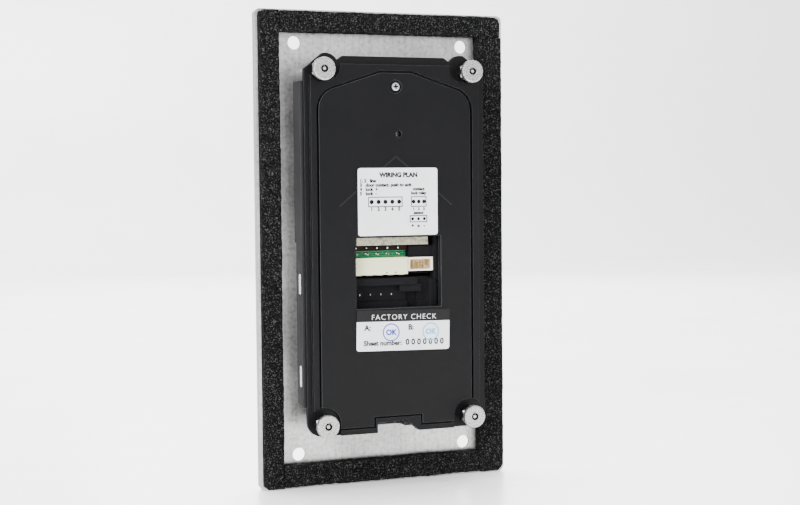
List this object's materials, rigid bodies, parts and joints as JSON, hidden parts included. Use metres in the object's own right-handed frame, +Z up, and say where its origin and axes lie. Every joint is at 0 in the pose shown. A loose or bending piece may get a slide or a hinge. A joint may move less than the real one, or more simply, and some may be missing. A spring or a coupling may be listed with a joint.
{
  "type": "door intercom panel",
  "caption": "Flush door intercom panel: brushed steel tray with camera window, speaker slots, call buttons and name windows, foam gasket and a black module behind.",
  "frame": {"origin": "centre of the plate's outline, in the plane of the foam gasket's rear face (the wall)", "axes": "+Z up, +Y towards the wall, so the street side faces -Y; +X is to the right seen from the street"},
  "size_m": [0.12, 0.0292, 0.215],
  "materials": {
    "steel": "brushed",
    "zinc": "zinc plated",
    "nickel": "turned and nickel plated",
    "foam": "open cell foam",
    "abs": "satin",
    "dark": "matt",
    "cream": "satin",
    "board": "solder mask",
    "paper": "matt",
    "rubber": "matt",
    "ferrite": "ground",
    "clear": "polished",
    "tinted": "polished",
    "lens": "coated"
  },
  "bodies": {
    "base": {"front_plate": "steel", "plate_stud_1": "zinc", "ear_nut_1": "zinc", "round_nut_1": "nickel", "plate_stud_2": "zinc", "ear_nut_2": "zinc", "round_nut_2": "nickel", "plate_stud_3": "zinc", "ear_nut_3": "zinc", "round_nut_3": "nickel", "plate_stud_4": "zinc", "ear_nut_4": "zinc", "round_nut_4": "nickel", "gasket_top": "foam", "gasket_bottom": "foam", "gasket_left": "foam", "gasket_right": "foam", "front_shell": "abs", "rear_shell": "abs", "rear_cover": "abs", "cover_screw": "zinc", "shield_bar": "zinc", "speaker_basket": "zinc", "microphone": "zinc", "cable_grommet": "rubber", "microphone_boot": "rubber", "main_board": "board", "led_board": "board", "camera_board": "board", "terminal_block": "cream", "sensor_connector": "cream", "trimmer_body": "cream", "pin_header": "dark", "cable_tray": "dark", "camera_bracket": "dark", "tact_switch_1": "dark", "tact_switch_2": "dark", "wiring_label": "paper", "inspection_label": "paper", "speaker_cone": "paper", "name_card_1": "paper", "name_card_2": "paper", "speaker_magnet": "ferrite", "camera_window": "tinted", "ir_led_1": "clear", "button_boot_1": "rubber", "name_window_1": "clear", "light_guide_1": "clear", "ir_led_2": "clear", "button_boot_2": "rubber", "name_window_2": "clear", "light_guide_2": "clear"},
    "call_button_1": {"call_button_1": "steel"},
    "call_button_2": {"call_button_2": "steel"},
    "camera_yoke": {"camera_yoke": "dark"},
    "camera_head": {"camera_head": "dark", "lens_barrel": "dark", "lens_glass": "lens"},
    "trimmer_rotor": {"trimmer_rotor": "zinc"}
  },
  "joints": [
    {"name": "press_1", "type": "slide", "parent": "base", "child": "call_button_1", "axis": [0, 1, 0], "range_m": [0, 0.0012], "stiffness_N_per_m": 800, "springref_m": -0.001},
    {"name": "press_2", "type": "slide", "parent": "base", "child": "call_button_2", "axis": [0, 1, 0], "range_m": [0, 0.0012], "stiffness_N_per_m": 800, "springref_m": -0.001},
    {"name": "camera_pan", "type": "hinge", "parent": "base", "child": "camera_yoke", "pos_m": [0, 0.002, 0.052], "axis": [0, 0, 1], "range_deg": [-15, 15]},
    {"name": "camera_tilt", "type": "hinge", "parent": "camera_yoke", "child": "camera_head", "pos_m": [0, 0.002, 0.052], "axis": [1, 0, 0], "range_deg": [-15, 15]},
    {"name": "trimmer_turn", "type": "hinge", "parent": "base", "child": "trimmer_rotor", "pos_m": [-0.0013, 0.012, 0.0517], "axis": [0, 1, 0], "range_deg": [-130, 130]}
  ]
}
